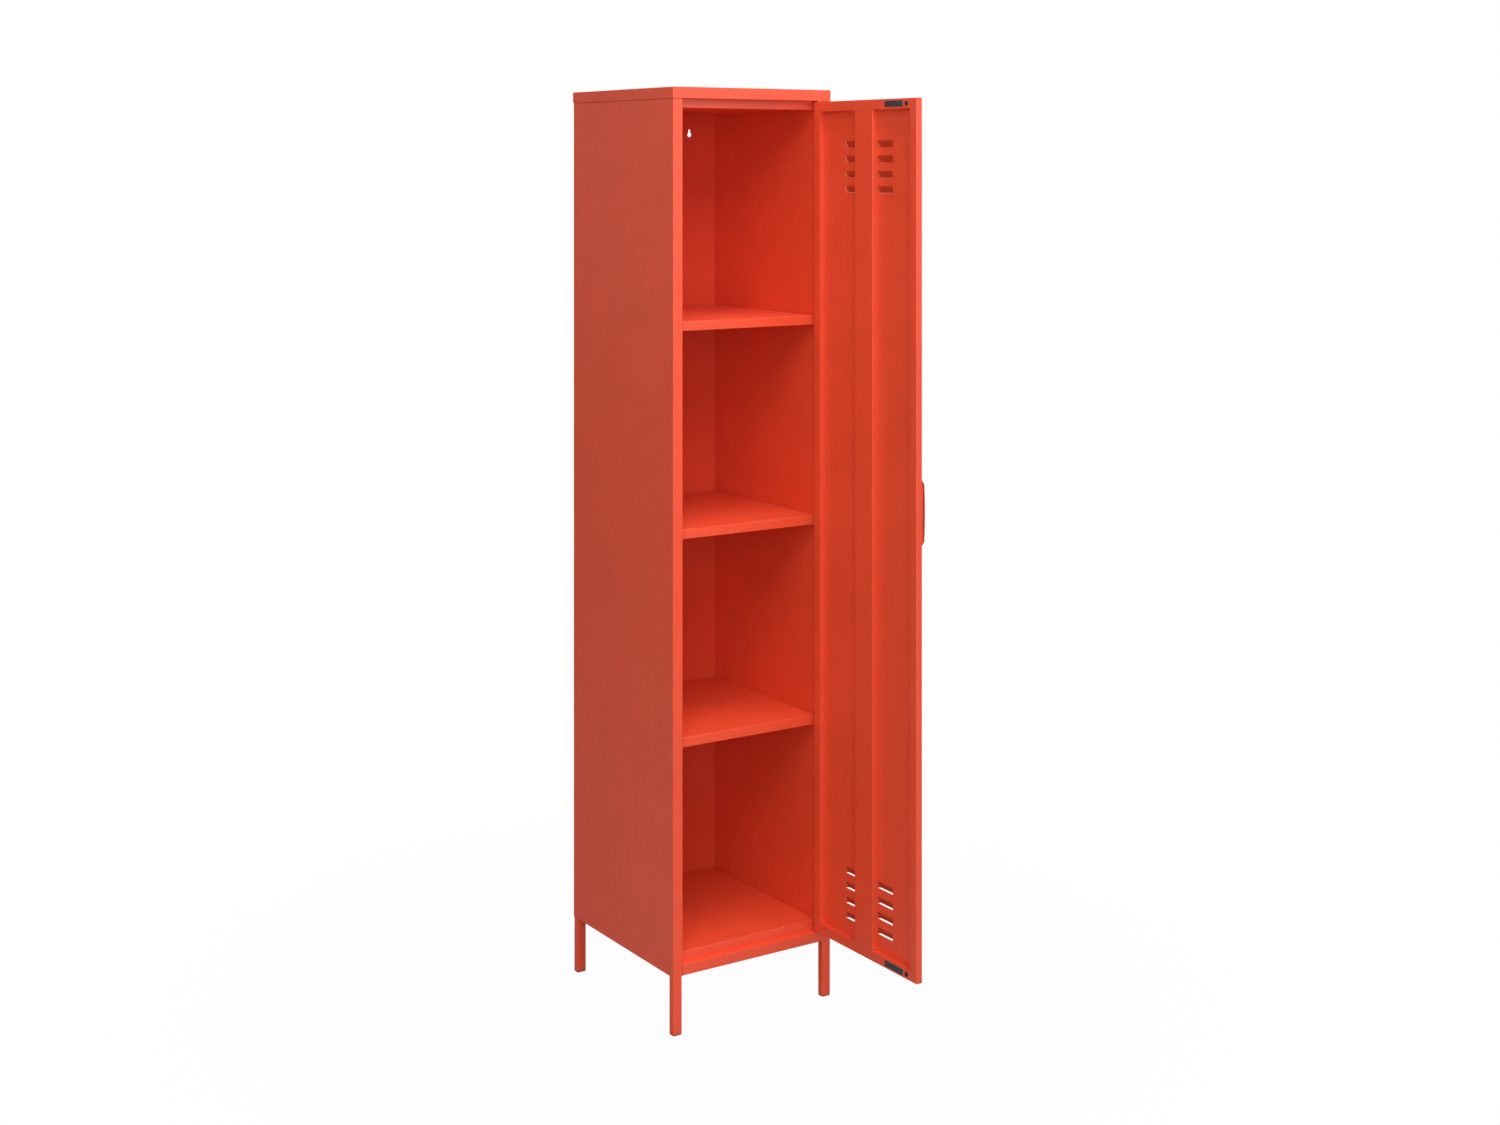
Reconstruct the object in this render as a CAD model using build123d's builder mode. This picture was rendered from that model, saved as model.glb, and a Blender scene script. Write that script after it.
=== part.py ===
from build123d import *
import os

# School locker: a tall steel cupboard on four short legs. Double-skinned sides, a folded cap,
# a floor, a ceiling and three shelves make four compartments, and one louvred door turns on
# two pins at the right-hand front corner. The door is drawn standing open at a right angle.
# Origin: middle of the four feet, on the floor. +X to the right, +Y to the back, +Z up.

# ---- Cabinet
width = 380.0
depth = 400.0
height = 1850.0
sheet = 0.8
bend = 1.5
cap_lip = 22.0
cap_overhang = 1.0
leg_height = 114.0
stile = 22.0
rail_height = 21.0
rail_depth = 23.0
tray_height = 19.0
stop_depth = 16.0
shelf_tops = {"lower": 573.0, "middle": 981.5, "upper": 1390.0}
shelf_flange = 18.5
shelf_hem = 12.0
side_gap = 0.3

# ---- Legs and their fasteners
leg_wide = 20.0
leg_deep = 15.0
leg_wall = 1.2
rear_leg_inset = 3.5
glide_height = 2.0
leg_plate = 2.0
screw_radius = 2.5
screw_clearance = 0.1
screw_length = 12.0
screw_head_radius = 4.6
screw_head_height = 2.6
screw_from_side = (13.0, 43.0)
screw_from_edge = (8.0, 32.0)
nut_flats = 8.0
nut_height = 4.0
nut_clearance = 0.05

# ---- Rivets and shelf clips
rivet_inset = 11.0
rivet_start = 170.0
rivet_rows = 8
rivet_pitch = 230.0
rivet_radius = 2.0
rivet_clearance = 0.05
rivet_head_radius = 3.8
rivet_head_height = 0.8
rivet_tail_swell = 0.8
rivet_tail_length = 2.5
clip_y = 130.0
clip_wide = 20.0
clip_thick = 1.5
clip_reach = 11.0
clip_drop = 12.0
clip_play = 0.2

# ---- Wall fixing
keyhole_spacing = 200.0
keyhole_radius = 5.0
keyhole_slot = 5.0
keyhole_z = 1763.0
keyhole_length = 17.0

# ---- Door
door_height = 1688.0
door_thick = 14.0
door_gap = 0.7
door_set_back = 0.3
door_frame = 20.0
rib_width = 59.0
pivot_inset = 2.6
pin_radius = 1.5
pin_clearance = 0.06
pin_length = 11.0
pin_head_lip = 0.25
pin_head_height = 1.0
pin_point = 0.5
pin_seat_clearance = 0.02
hinge_plate_thick = 2.0
skin_gap = 0.3
louvre_rows = 4
louvre_lip = 1.0
louvre_length = 49.0
louvre_height = 14.3
louvre_pitch = 30.0
louvre_from_middle = 27.5
louvre_rise = 6.5
louvre_slant = 4.5
louvre_centres = (241.3, 1694.5)
pull_length = 124.0
pull_reach = 28.0
pull_rise = 6.6
pull_wall = 0.6
pull_z = 1033.0
pull_taper = 3.0
pull_round = 2.0
pull_end = 6.0
shoulder = 5.2
shoulder_run = 7.5
lip_rise = 1.6
magnet_length = 56.0
magnet_high = 11.5
magnet_corner = 1.0
magnet_edge = 0.5
magnet_from_edge = 70.0
magnet_proud = 1.2
magnet_seat = 3.0
bumper_radius = 4.6
bumper_edge = 0.9
bumper_from_edge = 30.5
bumper_proud = 1.4
bumper_seat = 2.0
catch_from_end = 9.9
catch_clearance = 0.1

# ---- Places worked out from the sizes above
body_x = width / 2 - cap_overhang
body_y = depth / 2 - cap_overhang
body_top = height - sheet
stile_edge = body_x - stile
rail_top = leg_height + rail_height
cap_bottom = height - cap_lip
floor_top = rail_top + tray_height + 0.5
ceiling_under = cap_bottom - tray_height
stop_y = -body_y + stop_depth
liner_front = stop_y + 1.4
back_inside = body_y - sheet
liner_back = back_inside - sheet
panel_x = stile_edge - side_gap
panel_back = liner_back - 2 * side_gap
pan_rear_gap = 3.0

door_width = 2 * (stile_edge - door_gap)
door_mid = (rail_top + cap_bottom) / 2
door_bottom = door_mid - door_height / 2
door_top = door_mid + door_height / 2
pivot_x = stile_edge - door_gap - pivot_inset
pivot_y = -body_y + door_set_back + pivot_inset
# Local x runs from the hinge edge to the free edge, local y is the height, and the
# normal points from the outer face towards the inner face of the open door.
door_face = Plane(
    origin=(pivot_x + pivot_inset, pivot_y + pivot_inset, 0),
    x_dir=(0, -1, 0),
    z_dir=(-1, 0, 0),
)


def folded(points, side, thickness=sheet, radius=bend):
    """The section of a folded sheet that lies on one side of a line of corner points."""
    with BuildSketch() as section:
        with BuildLine():
            FilletPolyline(*points, radius=radius)
            offset(amount=thickness, side=side)
        make_face()
    return section.sketch


def block(low, high):
    """A sharp box between two corners."""
    size = [b - a for a, b in zip(low, high)]
    with BuildPart() as piece:
        with BuildSketch(Plane.XY.offset(low[2])):
            with Locations(((low[0] + high[0]) / 2, (low[1] + high[1]) / 2)):
                Rectangle(size[0], size[1])
        extrude(amount=size[2])
    return piece.part


def tray(half_x, front, back, low, high, open_side):
    """A folded tray with four flanges, open underneath (-1) or on top (+1)."""
    with BuildPart() as piece:
        add(block((-half_x, front, low), (half_x, back, high)))
        flat = piece.faces().sort_by(Axis.Z)[0 if open_side > 0 else -1]
        corners = piece.edges().filter_by(Axis.Z)
        fillet(corners + flat.edges(), radius=bend)
        hollow_low = low + sheet if open_side > 0 else low
        hollow_high = high if open_side > 0 else high - sheet
        inner = half_x - sheet
        add(
            block((-inner, front + sheet, hollow_low), (inner, back - sheet, hollow_high)),
            mode=Mode.SUBTRACT,
        )
    return piece


def write(piece, label):
    """Labels a finished sub-part and writes it to its own file."""
    piece.part.label = label
    export_step(piece.part, f"parts/{label}.step")


def mirrored(piece, plane):
    """The same sub-part handed the other way."""
    with BuildPart() as other:
        mirror(piece.part, about=plane)
    return other


os.makedirs("parts", exist_ok=True)

# ---- Fastener places
leg_x = body_x - leg_wide / 2
leg_front_y = -body_y + leg_deep / 2
leg_rear_y = body_y - rear_leg_inset - leg_deep / 2
plate_inset = 7.0
plate_wide = 44.0
plate_long = 40.0
screw_spots = []
for leg_y, inward in ((leg_front_y, 1), (leg_rear_y, -1)):
    outer_edge = leg_y - inward * (leg_deep / 2 - plate_inset)
    for side in (-1, 1):
        screw_spots += [
            (side * (body_x - screw_from_side[0]), outer_edge + inward * screw_from_edge[1]),
            (side * (body_x - screw_from_side[1]), outer_edge + inward * screw_from_edge[0]),
            (side * (body_x - screw_from_side[1]), outer_edge + inward * screw_from_edge[1]),
        ]
rivet_x = body_x - rivet_inset
rivet_hole = rivet_radius + rivet_clearance
rivet_heights = [rivet_start + rivet_pitch * row for row in range(rivet_rows)]

# ---- Side panels: outer skin, front stile, the return beside the door and the rear flange
with BuildPart() as side_panel_left:
    with BuildSketch(Plane.XY.offset(leg_height)):
        add(
            folded(
                [
                    (-stile_edge, stop_y),
                    (-stile_edge, -body_y),
                    (-body_x, -body_y),
                    (-body_x, back_inside),
                    (-stile_edge - 1, back_inside),
                ],
                Side.RIGHT,
            )
        )
    extrude(amount=body_top - leg_height)
    for rivet_height in rivet_heights:
        with Locations(Location((-rivet_x, back_inside, rivet_height), (90, 0, 0))):
            Cylinder(rivet_hole, 4 * sheet, mode=Mode.SUBTRACT)

# ---- Side liners: the smooth inner skins, with slots that the shelf clips hook into
liner_bottom = leg_height + sheet
with BuildPart() as side_liner_left:
    with BuildSketch(Plane.XY.offset(liner_bottom)):
        add(
            folded(
                [
                    (-body_x + bend + side_gap, liner_front),
                    (-stile_edge, liner_front),
                    (-stile_edge, liner_back),
                    (-body_x + bend + side_gap, liner_back),
                ],
                Side.LEFT,
            )
        )
    extrude(amount=body_top - liner_bottom)
    for shelf_top in shelf_tops.values():
        slot_z = shelf_top - shelf_flange - clip_thick / 2
        with Locations((-stile_edge, -clip_y, slot_z), (-stile_edge, clip_y, slot_z)):
            Box(4 * sheet, clip_wide + 2 * clip_play, clip_thick + clip_play, mode=Mode.SUBTRACT)
    for rivet_height in rivet_heights:
        with Locations(Location((-rivet_x, liner_back, rivet_height), (90, 0, 0))):
            Cylinder(rivet_hole, 4 * sheet, mode=Mode.SUBTRACT)

# ---- Back panel with two keyholes for hanging it on wall screws
slot_top = keyhole_z - keyhole_radius + keyhole_length - keyhole_slot / 2
back_plane = Plane(origin=(0, body_y, 0), x_dir=(1, 0, 0), z_dir=(0, -1, 0))
with BuildPart() as back_panel:
    with BuildSketch(back_plane):
        with Locations((0, (leg_height + body_top) / 2)):
            Rectangle(2 * (body_x - bend), body_top - leg_height)
        with Locations((-keyhole_spacing / 2, keyhole_z), (keyhole_spacing / 2, keyhole_z)):
            Circle(keyhole_radius, mode=Mode.SUBTRACT)
        slot_middle = (keyhole_z + slot_top) / 2
        with Locations((-keyhole_spacing / 2, slot_middle), (keyhole_spacing / 2, slot_middle)):
            SlotCenterToCenter(slot_top - keyhole_z, keyhole_slot, rotation=90, mode=Mode.SUBTRACT)
        for rivet_height in rivet_heights:
            with Locations((-rivet_x, rivet_height), (rivet_x, rivet_height)):
                Circle(rivet_hole, mode=Mode.SUBTRACT)
    extrude(amount=sheet)

# ---- Blind rivets that join the back panel, the side flanges and the liner flanges
rivet_grip = 3 * sheet
with BuildPart() as back_rivets:
    for rivet_height in rivet_heights:
        for side in (-1, 1):
            rivet_plane = Plane(
                origin=(side * rivet_x, body_y, rivet_height), x_dir=(1, 0, 0), z_dir=(0, 1, 0)
            )
            with BuildSketch(rivet_plane):
                Circle(rivet_head_radius)
            extrude(amount=rivet_head_height)
            with BuildSketch(rivet_plane):
                Circle(rivet_radius)
            extrude(amount=-rivet_grip)
            with BuildSketch(rivet_plane.offset(-rivet_grip)):
                Circle(rivet_radius + rivet_tail_swell)
            extrude(amount=-rivet_tail_length)

# ---- Top cap: a folded lid over the body, with a return over the door opening
with BuildPart() as top_cap:
    add(block((-width / 2, -depth / 2, cap_bottom), (width / 2, depth / 2, height)))
    upright = top_cap.edges().filter_by(Axis.Z)
    fillet(upright + top_cap.faces().sort_by(Axis.Z)[-1].edges(), radius=bend)
    inner_x = width / 2 - sheet
    inner_y = depth / 2 - sheet
    add(block((-inner_x, -inner_y, cap_bottom), (inner_x, inner_y, body_top)), mode=Mode.SUBTRACT)
    add(
        block(
            (-panel_x, -inner_y - 0.1, cap_bottom),
            (panel_x, -body_y + rail_depth, cap_bottom + sheet),
        )
    )
    with Locations((pivot_x, pivot_y, cap_bottom)):
        Cylinder(pin_radius + pin_seat_clearance, 4 * sheet, mode=Mode.SUBTRACT)

# ---- Ceiling, floor and shelves between the liners
ceiling_panel = tray(panel_x, stop_y, panel_back, ceiling_under, cap_bottom, 1)
floor_panel = tray(panel_x, stop_y, panel_back, rail_top, floor_top, -1)

# ---- Base pan: the front rail, the bottom sheet and the rear upstand
with BuildPart() as base_pan:
    with BuildSketch(Plane.YZ.offset(-panel_x)):
        add(
            folded(
                [
                    (-body_y + rail_depth, rail_top),
                    (-body_y, rail_top),
                    (-body_y, leg_height),
                    (panel_back, leg_height),
                    (panel_back, rail_top - sheet),
                ],
                Side.LEFT,
            )
        )
    extrude(amount=2 * panel_x)
    wing_x = body_x - sheet - side_gap
    wing_back = panel_back - pan_rear_gap
    add(block((-wing_x, liner_front, leg_height), (wing_x, wing_back, leg_height + sheet)))
    with Locations((pivot_x, pivot_y, rail_top)):
        Cylinder(pin_radius + pin_seat_clearance, 4 * sheet, mode=Mode.SUBTRACT)
    for spot in screw_spots:
        with Locations((spot[0], spot[1], leg_height)):
            Cylinder(screw_radius + screw_clearance, 4 * sheet, mode=Mode.SUBTRACT)

# ---- Shelves, each with a hem along the bottom of its front flange, and their hooked clips
shelf_front = stop_y + 1
shelves = {}
shelf_clips = {}
for level, shelf_top in shelf_tops.items():
    shelf_under = shelf_top - shelf_flange
    with BuildPart() as shelf:
        add(tray(panel_x, shelf_front, panel_back, shelf_under, shelf_top, -1).part)
        add(
            block(
                (-panel_x + 0.5, shelf_front + 0.4, shelf_under),
                (panel_x - 0.5, shelf_front + shelf_hem, shelf_under + sheet),
            )
        )
    shelves[level] = shelf
    with BuildPart() as clips:
        for side in (-1, 1):
            for clip_place in (-clip_y, clip_y):
                hook_x = side * (stile_edge + sheet + 0.1 + clip_thick)
                tip_x = side * (stile_edge - clip_reach)
                skin_x = side * (stile_edge + sheet + 0.1)
                y_low = clip_place - clip_wide / 2
                y_high = clip_place + clip_wide / 2
                tongue = (min(hook_x, tip_x), max(hook_x, tip_x))
                hook = (min(hook_x, skin_x), max(hook_x, skin_x))
                add(
                    block(
                        (tongue[0], y_low, shelf_under - clip_thick),
                        (tongue[1], y_high, shelf_under),
                    )
                )
                add(
                    block(
                        (hook[0], y_low, shelf_under - clip_drop),
                        (hook[1], y_high, shelf_under),
                    )
                )
    shelf_clips[level] = clips


# ---- Legs: plain rectangular tubes with a plastic glide pushed into each lower end
def leg_tube(x, y):
    """One leg standing between its glide and its plate."""
    with BuildPart() as leg:
        with BuildSketch(Plane.XY.offset(glide_height)):
            with Locations((x, y)):
                RectangleRounded(leg_wide, leg_deep, bend)
                Rectangle(leg_wide - 2 * leg_wall, leg_deep - 2 * leg_wall, mode=Mode.SUBTRACT)
        extrude(amount=leg_height - leg_plate - glide_height)
    return leg


def foot_glide(x, y):
    """The glide that closes the end of a leg and rests on the floor."""
    spigot = 12.0
    with BuildPart() as glide:
        with BuildSketch():
            with Locations((x, y)):
                RectangleRounded(leg_wide - 0.6, leg_deep - 0.6, bend)
        extrude(amount=glide_height)
        fillet(glide.faces().sort_by(Axis.Z)[0].edges(), radius=0.6)
        with BuildSketch(Plane.XY.offset(glide_height)):
            with Locations((x, y)):
                Rectangle(leg_wide - 2 * leg_wall - 0.2, leg_deep - 2 * leg_wall - 0.2)
                Rectangle(leg_wide - 4 * leg_wall, leg_deep - 4 * leg_wall, mode=Mode.SUBTRACT)
        extrude(amount=spigot)
    return glide


legs = {}
glides = {}
for row, leg_y in (("front", leg_front_y), ("rear", leg_rear_y)):
    for hand, side in (("left", -1), ("right", 1)):
        legs[f"leg_{row}_{hand}"] = leg_tube(side * leg_x, leg_y)
        glides[f"glide_{row}_{hand}"] = foot_glide(side * leg_x, leg_y)

# ---- Leg plates: welded on the tubes and screwed up into the base pan
with BuildPart() as leg_plates:
    for leg_y, inward in ((leg_front_y, 1), (leg_rear_y, -1)):
        outer_edge = leg_y - inward * (leg_deep / 2 - plate_inset)
        for side in (-1, 1):
            with BuildSketch(Plane.XY.offset(leg_height - leg_plate)):
                with Locations((side * leg_x, leg_y)):
                    RectangleRounded(leg_wide, leg_deep, bend)
                plate_x = side * (body_x - plate_inset - plate_wide / 2)
                with Locations((plate_x, outer_edge + inward * plate_long / 2)):
                    RectangleRounded(plate_wide, plate_long, 4)
                with Locations(*screw_spots):
                    Circle(screw_radius + screw_clearance, mode=Mode.SUBTRACT)
            extrude(amount=leg_plate)

# ---- Leg screws, and the weld nuts that they turn into
with BuildPart() as leg_screws:
    with BuildSketch(Plane.XY.offset(leg_height - leg_plate - screw_head_height)):
        with Locations(*screw_spots):
            Circle(screw_head_radius)
    extrude(amount=screw_head_height)
    with BuildSketch(Plane.XY.offset(leg_height - leg_plate)):
        with Locations(*screw_spots):
            Circle(screw_radius)
    extrude(amount=screw_length)

with BuildPart() as leg_nuts:
    with BuildSketch(Plane.XY.offset(leg_height + sheet)):
        with Locations(*screw_spots):
            RegularPolygon(nut_flats / 2, 6, major_radius=False)
            Circle(screw_radius + nut_clearance, mode=Mode.SUBTRACT)
    extrude(amount=nut_height)


# ---- Hinge: a pin in the rail and one in the cap, each entering a plate inside the door
def hinge_pin(plate_z, direction):
    """A headed pin through a cabinet sheet, pointing into the door."""
    pin_plane = Plane(origin=(pivot_x, pivot_y, plate_z), z_dir=(0, 0, direction))
    with BuildPart() as pin:
        with BuildSketch(pin_plane):
            Circle(pin_radius)
        extrude(amount=pin_length)
        with BuildSketch(pin_plane):
            Circle(pin_radius)
        extrude(amount=-sheet)
        with BuildSketch(pin_plane.offset(-sheet)):
            Circle(pin_radius + pin_head_lip)
        extrude(amount=-pin_head_height)
        chamfer(pin.faces().sort_by(Axis.Z)[-1 if direction > 0 else 0].edges(), length=pin_point)
    return pin


hinge_pin_bottom = hinge_pin(rail_top, 1)
hinge_pin_top = hinge_pin(cap_bottom, -1)

washer_outer = 2.5
with BuildPart() as hinge_washer:
    with BuildSketch(Plane.XY.offset(rail_top)):
        with Locations((pivot_x, pivot_y)):
            Circle(washer_outer)
            Circle(pin_radius + pin_clearance, mode=Mode.SUBTRACT)
    extrude(amount=door_bottom - rail_top - 0.1)


# ---- Door skin: outer sheet, folded edges, 20 mm returns and their inner walls
def door_rectangle(inset):
    """The door's outline, drawn a given distance inside its edges."""
    with Locations((door_width / 2, door_mid)):
        Rectangle(door_width - 2 * inset, door_height - 2 * inset)


def louvre_spots():
    """The middle of each louvre in the door's own plane."""
    offsets = [(row - (louvre_rows - 1) / 2) * louvre_pitch for row in range(louvre_rows)]
    reach = louvre_from_middle + louvre_length / 2
    return [
        (door_width / 2 + column * reach, centre + up)
        for centre in louvre_centres
        for up in offsets
        for column in (-1, 1)
    ]


def hood(spot, grow):
    """A louvre's wedge, flush at its top and standing proud at its lower lip."""
    low = spot[1] - louvre_height / 2
    wide = louvre_length + 2 * grow
    root_high = louvre_height + grow
    lip_high = louvre_lip + grow
    start = 0.0 if grow else sheet + 0.1
    rise = louvre_rise if grow else louvre_rise - sheet
    with BuildPart() as wedge:
        with BuildSketch(door_face.offset(start)):
            with Locations((spot[0], low + root_high / 2)):
                Rectangle(wide, root_high)
        with BuildSketch(door_face.offset(-rise)):
            with Locations((spot[0], low + lip_high / 2)):
                Rectangle(wide - 2 * louvre_slant, lip_high)
        loft()
    return wedge.part


hinge_hole = pin_radius + pin_clearance
catch_seat = door_thick - sheet
catch_heights = {"bottom": door_bottom + catch_from_end, "top": door_top - catch_from_end}
magnet_run = door_width - magnet_from_edge
bumper_run = door_width - bumper_from_edge
with BuildPart() as door_skin:
    with BuildSketch(door_face):
        door_rectangle(0)
    extrude(amount=door_thick)
    fillet(door_skin.edges(), radius=bend)
    with BuildSketch(door_face.offset(sheet)):
        door_rectangle(sheet)
    extrude(amount=skin_gap, mode=Mode.SUBTRACT)
    with BuildSketch(door_face.offset(sheet)):
        door_rectangle(sheet)
        with Locations((door_width / 2, door_mid)):
            inner_wall = 2 * (door_frame - sheet)
            Rectangle(door_width - inner_wall, door_height - inner_wall, mode=Mode.SUBTRACT)
    extrude(amount=door_thick - 2 * sheet, mode=Mode.SUBTRACT)
    with BuildSketch(door_face.offset(sheet)):
        door_rectangle(door_frame)
    extrude(amount=door_thick, mode=Mode.SUBTRACT)
    for spot in louvre_spots():
        add(hood(spot, sheet))
    for spot in louvre_spots():
        add(hood(spot, 0), mode=Mode.SUBTRACT)
    with Locations((pivot_x, pivot_y, door_bottom), (pivot_x, pivot_y, door_top)):
        Cylinder(hinge_hole, 4 * sheet, mode=Mode.SUBTRACT)
    for catch_z in catch_heights.values():
        with BuildSketch(door_face.offset(catch_seat - catch_clearance)):
            with Locations((magnet_run, catch_z)):
                RectangleRounded(
                    magnet_length + 2 * catch_clearance,
                    magnet_high + 2 * catch_clearance,
                    magnet_corner + catch_clearance,
                )
            with Locations((bumper_run, catch_z)):
                Circle(bumper_radius + catch_clearance)
        extrude(amount=sheet + 2 * catch_clearance, mode=Mode.SUBTRACT)

# ---- Door rib: a hat section down the middle of the inner side
rib_clearance = 0.15
rib_low = door_bottom + door_frame + rib_clearance
rib_high = door_top - door_frame - rib_clearance
rib_plane = Plane(origin=(door_face.origin.X, door_face.origin.Y, rib_low), x_dir=(0, -1, 0))
with BuildPart() as door_rib:
    with BuildSketch(rib_plane):
        left = door_width / 2 - rib_width / 2
        right = door_width / 2 + rib_width / 2
        foot = -(sheet + skin_gap)
        add(
            folded(
                [(left, foot), (left, -door_thick), (right, -door_thick), (right, foot)],
                Side.LEFT,
            )
        )
    extrude(amount=rib_high - rib_low)

# ---- Door pull: a hooded scoop at the free edge, open towards that edge
free_edge = Plane(
    origin=(door_face.origin.X, door_face.origin.Y - door_width, pull_z),
    x_dir=(1, 0, 0),
    z_dir=(0, 1, 0),
)


def pull_outline(shrink):
    """The bowed mouth of the scoop, drawn on both sides of the door's outer face."""
    half = pull_length / 2 - shrink
    with BuildSketch(free_edge) as mouth:
        with BuildLine():
            for sign in (-1, 1):
                Line((0, sign * half), (shoulder - shrink, sign * (half - shoulder_run)))
            ThreePointArc(
                (shoulder - shrink, half - shoulder_run),
                (pull_rise - shrink, 0),
                (shoulder - shrink, shoulder_run - half),
            )
            Line((0, half), (0, -half))
        make_face()
        mirror(about=Plane.YZ)
    return mouth.sketch


with BuildPart() as door_pull:
    extrude(pull_outline(0), amount=pull_reach, taper=pull_taper)
    chamfer(door_pull.faces().sort_by(Axis.Y)[-1].edges(), length=pull_round)
    extrude(
        pull_outline(pull_wall),
        amount=pull_reach - pull_round - pull_wall,
        taper=pull_taper,
        mode=Mode.SUBTRACT,
    )
    with BuildSketch(free_edge):
        with Locations((pull_wall / 2, 0)):
            Rectangle(pull_wall, pull_length - 2 * pull_end)
    extrude(amount=pull_reach - pull_round)
    with BuildSketch(free_edge):
        with Locations((lip_rise / 2, 0)):
            Rectangle(lip_rise, pull_length - 2 * pull_end)
    extrude(amount=pull_wall)
    split(bisect_by=Plane(free_edge.origin, x_dir=(0, 1, 0), z_dir=(1, 0, 0)), keep=Keep.TOP)

# ---- Magnets and bumpers let into the returns near the free edge
magnets = {}
bumpers = {}
for end, catch_z in catch_heights.items():
    with BuildPart() as magnet:
        with BuildSketch(door_face.offset(catch_seat - magnet_seat)):
            with Locations((magnet_run, catch_z)):
                RectangleRounded(magnet_length, magnet_high, magnet_corner)
        extrude(amount=magnet_seat + sheet + magnet_proud)
        fillet(magnet.faces().sort_by(Axis.X)[0].edges(), radius=magnet_edge)
    magnets[end] = magnet
    with BuildPart() as bumper:
        with BuildSketch(door_face.offset(catch_seat - bumper_seat)):
            with Locations((bumper_run, catch_z)):
                Circle(bumper_radius)
        extrude(amount=bumper_seat + sheet + bumper_proud)
        fillet(bumper.faces().sort_by(Axis.X)[0].edges(), radius=bumper_edge)
    bumpers[end] = bumper

# ---- Hinge plates: the reinforced holes that turn on the pins, inside the door's corners
plate_play = 0.2
plate_run = door_frame - 2 * sheet - 2 * plate_play
plate_wide_inside = door_thick - 2 * sheet - 4 * plate_play
hinge_plates = {}
for end, low in (("bottom", door_bottom + sheet), ("top", door_top - sheet - hinge_plate_thick)):
    plate_plane = Plane(
        origin=(door_face.origin.X, door_face.origin.Y, low), x_dir=(0, -1, 0), z_dir=(0, 0, 1)
    )
    with BuildPart() as hinge_plate:
        with BuildSketch(plate_plane):
            with Locations((sheet + plate_play + plate_run / 2, -door_thick / 2)):
                Rectangle(plate_run, plate_wide_inside)
            with Locations((pivot_inset, -pivot_inset)):
                Circle(hinge_hole, mode=Mode.SUBTRACT)
        extrude(amount=hinge_plate_thick)
    hinge_plates[end] = hinge_plate

# ---- Written files
write(side_panel_left, "side_panel_left")
write(mirrored(side_panel_left, Plane.YZ), "side_panel_right")
write(side_liner_left, "side_liner_left")
write(mirrored(side_liner_left, Plane.YZ), "side_liner_right")
write(back_panel, "back_panel")
write(back_rivets, "back_rivets")
write(top_cap, "top_cap")
write(ceiling_panel, "ceiling_panel")
write(floor_panel, "floor_panel")
write(base_pan, "base_pan")
for level in shelf_tops:
    write(shelves[level], f"shelf_{level}")
    write(shelf_clips[level], f"shelf_clips_{level}")
for name, leg in legs.items():
    write(leg, name)
for name, glide in glides.items():
    write(glide, name)
write(leg_plates, "leg_plates")
write(leg_screws, "leg_screws")
write(leg_nuts, "leg_nuts")
write(hinge_pin_bottom, "hinge_pin_bottom")
write(hinge_pin_top, "hinge_pin_top")
write(hinge_washer, "hinge_washer")
write(door_skin, "door_skin")
write(door_rib, "door_rib")
write(door_pull, "door_pull")
for end in catch_heights:
    write(magnets[end], f"door_magnet_{end}")
    write(bumpers[end], f"door_bumper_{end}")
    write(hinge_plates[end], f"hinge_plate_{end}")
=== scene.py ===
import math

import bmesh
import bpy
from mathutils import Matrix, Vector


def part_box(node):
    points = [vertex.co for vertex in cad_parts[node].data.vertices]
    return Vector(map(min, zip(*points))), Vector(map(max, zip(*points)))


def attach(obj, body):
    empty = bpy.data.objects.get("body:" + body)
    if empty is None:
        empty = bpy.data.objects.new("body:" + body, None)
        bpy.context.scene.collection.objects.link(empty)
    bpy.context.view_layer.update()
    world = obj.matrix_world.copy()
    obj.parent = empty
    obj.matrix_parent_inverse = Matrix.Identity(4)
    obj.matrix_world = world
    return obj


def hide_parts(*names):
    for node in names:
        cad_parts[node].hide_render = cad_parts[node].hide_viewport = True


bl_info = {
    "name": "School locker",
    "version": (1, 0, 0),
    "blender": (4, 5, 0),
    "location": "3D View > Sidebar > Locker",
    "description": "Finishes the steel school locker around its fixed frame",
    "category": "Object",
}

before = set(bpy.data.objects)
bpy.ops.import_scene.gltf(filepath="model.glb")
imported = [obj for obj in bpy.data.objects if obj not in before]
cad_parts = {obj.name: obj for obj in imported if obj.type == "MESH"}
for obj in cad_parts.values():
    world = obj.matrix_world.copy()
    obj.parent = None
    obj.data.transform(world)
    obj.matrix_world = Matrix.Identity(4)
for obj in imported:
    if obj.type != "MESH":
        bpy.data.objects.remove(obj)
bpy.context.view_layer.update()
CABINET = "cabinet"
DOOR = "door"

# ---- Nodes that keep the frame's shape, by the finish they get
SHEET_NODES = (
    "side_liner_left",
    "side_liner_right",
    "back_panel",
    "top_cap",
    "ceiling_panel",
    "floor_panel",
    "base_pan",
    "shelf_lower",
    "shelf_middle",
    "shelf_upper",
    "leg_plates",
    "shelf_clips_lower",
    "shelf_clips_middle",
    "shelf_clips_upper",
    "door_rib",
    "door_pull",
)
DOOR_NODES = ("door_skin",)
STEEL_NODES = (
    "leg_nuts",
    "hinge_pin_bottom",
    "hinge_pin_top",
    "hinge_plate_bottom",
    "hinge_plate_top",
)
LEG_NODES = (
    "leg_front_left",
    "leg_front_right",
    "leg_rear_left",
    "leg_rear_right",
)
SIDE_NODES = ("side_panel_left", "side_panel_right")
GLIDE_NODES = (
    "glide_front_left",
    "glide_front_right",
    "glide_rear_left",
    "glide_rear_right",
)

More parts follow.
